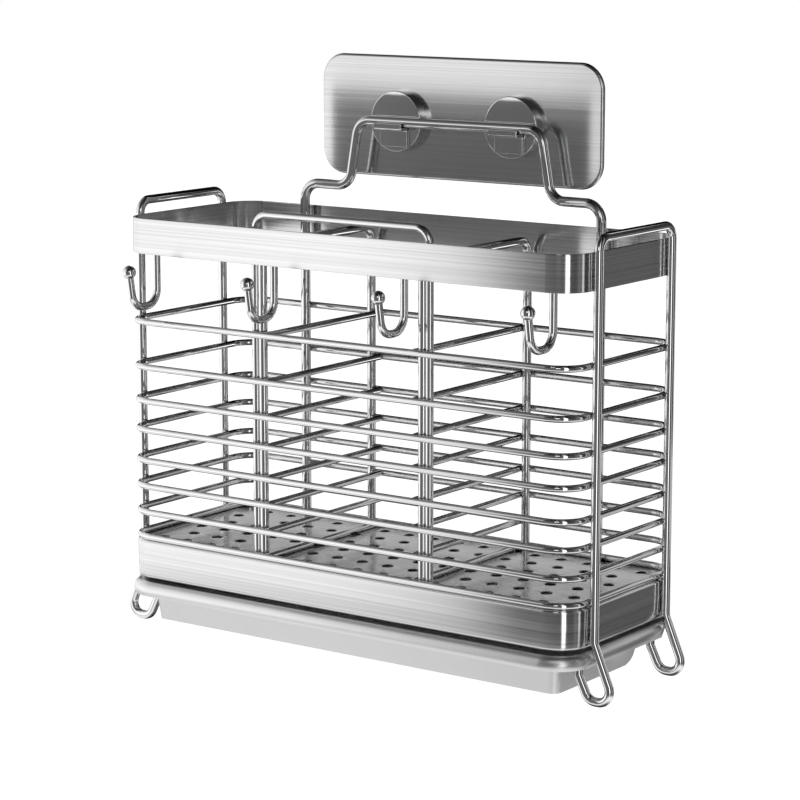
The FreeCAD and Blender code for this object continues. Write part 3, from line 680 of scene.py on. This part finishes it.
# Share of that brightness by height, in degrees above the basket's middle
HEIGHTS = (
    (-90, 0.0), (-44, 0.0), (-38, 0.25), (-31, 0.3), (-26, 0.7), (-21, 1.0), (1, 1.0), (7, 0.8),
    (24, 0.8), (34, 0.5), (44, 0.22), (55, 0.1), (75, 0.05), (90, 0.04),
)
# Brightness of the pale floor under the basket by the same height, and its share by bearing
FLOOR_HEIGHTS = (
    (-90, 0.1), (-68, 0.1), (-58, 0.6), (-50, 1.0), (-40, 0.9), (-34, 0.3), (-28, 0.0), (90, 0.0),
)
FLOOR_BEARINGS = ((-180, 0.0), (-112, 0.0), (-98, 1.0), (160, 1.0), (174, 0.0), (180, 0.0))
FLOOR_LEVEL = 1.2


def stage_object(name, bm, finish, at):
    """Makes a mesh part of the studio."""
    mesh = bpy.data.meshes.new(name)
    bm.to_mesh(mesh)
    bm.free()
    mesh.materials.append(finish)
    made = bpy.data.objects.new(name, mesh)
    made.location = at
    bpy.context.scene.collection.objects.link(made)
    return made


def seen_or_mirrored(tree):
    """One for what the camera sees, straight, in a mirror or through glass, and nought for plain light."""
    path = add_node(tree, "LightPath")
    seen = add_node(tree, "Math", links={0: path.outputs["Is Camera Ray"], 1: path.outputs["Is Glossy Ray"]},
                    operation="MAXIMUM")
    shown = add_node(tree, "Math", links={0: seen.outputs[0], 1: path.outputs["Is Transmission Ray"]},
                     operation="MAXIMUM")
    return shown.outputs[0]


def studio_floor():
    """Painted board, matt white; its own glow for the picture brings it up to the white of the background."""
    finish, tree = new_finish("painted_board_matt")
    glow = add_node(tree, "Math", {1: 0.4}, {0: seen_or_mirrored(tree)}, operation="MULTIPLY")
    board = add_node(tree, "BsdfPrincipled", {"Base Color": paint("#F4F4F4"), "Roughness": 0.8,
                                              "Emission Color": (1, 1, 1, 1)},
                     {"Emission Strength": glow.outputs[0]})
    add_node(tree, "OutputMaterial", links={"Surface": board.outputs[0]})
    return finish


def studio_tent():
    """Soft panels and dark flags: brightness by bearing and height round the basket."""
    finish, tree = new_finish("studio_tent_cloth")
    where = add_node(tree, "TexCoord")
    split = add_node(tree, "SeparateXYZ", links={"Vector": where.outputs["Object"]})
    ahead = add_node(tree, "Math", {1: -1.0}, {0: split.outputs["Y"]}, operation="MULTIPLY")
    bearing = add_node(tree, "Math", links={0: split.outputs["X"], 1: ahead.outputs[0]}, operation="ARCTAN2")
    round_share = add_node(tree, "MapRange", {"From Min": -math.pi, "From Max": math.pi},
                           {"Value": bearing.outputs[0]})
    rise = add_node(tree, "Math", {1: STUDIO_RADIUS}, {0: split.outputs["Z"]}, operation="DIVIDE")
    height = add_node(tree, "Math", links={0: rise.outputs[0]}, operation="ARCSINE")
    height_share = add_node(tree, "MapRange", {"From Min": -math.pi / 2, "From Max": math.pi / 2},
                            {"Value": height.outputs[0]})
    highest = max(level for angle, level in BEARINGS)
    by_bearing = add_node(tree, "ValToRGB", links={"Fac": round_share.outputs[0]},
                          levels=[((angle + 180) / 360, level / highest) for angle, level in BEARINGS])
    by_height = add_node(tree, "ValToRGB", links={"Fac": height_share.outputs[0]},
                         levels=[((angle + 90) / 180, level) for angle, level in HEIGHTS])
    floor_height = add_node(tree, "ValToRGB", links={"Fac": height_share.outputs[0]},
                            levels=[((angle + 90) / 180, level) for angle, level in FLOOR_HEIGHTS])
    floor_bearing = add_node(tree, "ValToRGB", links={"Fac": round_share.outputs[0]},
                             levels=[((angle + 180) / 360, level) for angle, level in FLOOR_BEARINGS])
    panels = add_node(tree, "Math", links={0: by_bearing.outputs[0], 1: by_height.outputs[0]},
                      operation="MULTIPLY")
    below = add_node(tree, "Math", links={0: floor_height.outputs[0], 1: floor_bearing.outputs[0]},
                     operation="MULTIPLY")
    floor_glow = add_node(tree, "Math", {1: FLOOR_LEVEL}, {0: below.outputs[0]}, operation="MULTIPLY")
    strength = add_node(tree, "Math", {1: highest}, {0: panels.outputs[0], 2: floor_glow.outputs[0]},
                        operation="MULTIPLY_ADD")
    glow = add_node(tree, "Emission", links={"Strength": strength.outputs[0]})
    add_node(tree, "OutputMaterial", links={"Surface": glow.outputs[0]})
    return finish


def studio_flag(code):
    """Dyed wool felt, matt: takes light away from the reflections."""
    finish, tree = new_finish("studio_felt")
    felt = add_node(tree, "BsdfDiffuse", {"Color": paint(code)})
    add_node(tree, "OutputMaterial", links={"Surface": felt.outputs[0]})
    return finish


def panel_glow(level):
    """White cloth lit from behind: an even, soft light."""
    finish, tree = new_finish("studio_panel_cloth")
    glow = add_node(tree, "Emission", {"Strength": level})
    add_node(tree, "OutputMaterial", links={"Surface": glow.outputs[0]})
    return finish


def only_in_reflections(made):
    """Keeps a panel or flag out of the picture and of plain light, so that only metal shows it."""
    made.visible_camera = False
    made.visible_diffuse = False
    made.visible_shadow = False
    made.visible_transmission = False


board = bmesh.new()
bmesh.ops.create_circle(board, cap_ends=True, segments=96, radius=FLOOR_RADIUS)
stage_object("studio_floor", board, studio_floor(), (0, 0, FLOOR_HEIGHT))

tent = bmesh.new()
bmesh.ops.create_uvsphere(tent, u_segments=96, v_segments=48, radius=STUDIO_RADIUS)
only_in_reflections(stage_object("studio_tent", tent, studio_tent(), STUDIO_MIDDLE))


def cut_cloth(half_width, half_height):
    """A flat cloth for a panel or flag."""
    cloth = bmesh.new()
    bmesh.ops.create_grid(cloth, x_segments=1, y_segments=1, size=1,
                          matrix=Matrix.Diagonal((half_width, half_height, 1, 1)))
    return cloth


def hang_in_tent(name, bearing, height, cloth, finish):
    """Hangs a cloth inside the tent, square to the basket, at a bearing and height in degrees."""
    bmesh.ops.translate(cloth, vec=(0, 0, HANGING_RADIUS), verts=cloth.verts[:])
    turn = Matrix.Rotation(math.radians(bearing), 4, "Z") @ Matrix.Rotation(math.radians(90 - height), 4, "X")
    bmesh.ops.transform(cloth, matrix=turn, verts=cloth.verts[:])
    only_in_reflections(stage_object(name, cloth, finish, STUDIO_MIDDLE))


def hang_upright(name, at, cloth, finish):
    """Hangs a cloth upright and level with the wall, close to the basket."""
    bmesh.ops.transform(cloth, matrix=TO_FRONT, verts=cloth.verts[:])
    only_in_reflections(stage_object(name, cloth, finish, at))


# A flag behind on the right darkens the wires' upper sides and the plate's edge
hang_in_tent("studio_rear_flag", 146, 19, cut_cloth(0.24, 0.135), studio_flag("#484848"))
# A panel by the camera lights round edges
hang_in_tent("studio_key_panel", 29, 22, cut_cloth(0.06, 0.07), panel_glow(1.8))
# A low panel close behind the basket lights the pan's floor, so that its holes show
hang_upright("studio_low_panel", (0.03, 0.02, -0.175), cut_cloth(0.24, 0.025), panel_glow(0.6))
# A flag in the basket's mouth darkens the plate's lower half and the rear band
hang_upright("studio_flag", (-0.040, -0.06, -0.034), cut_cloth(0.075, 0.04), studio_flag("#A0A0A0"))

world = bpy.data.worlds.new("studio_air")
bpy.context.scene.world = world
world.use_nodes = True
air = world.node_tree
air.nodes.clear()
level = add_node(air, "MapRange", {"To Min": 0.75, "To Max": 1.0}, {"Value": seen_or_mirrored(air)})
backdrop = add_node(air, "Background", {"Color": (1, 1, 1, 1)}, {"Strength": level.outputs[0]})
add_node(air, "OutputWorld", links={"Surface": backdrop.outputs[0]})

bpy.context.scene.view_settings.view_transform = "Standard"
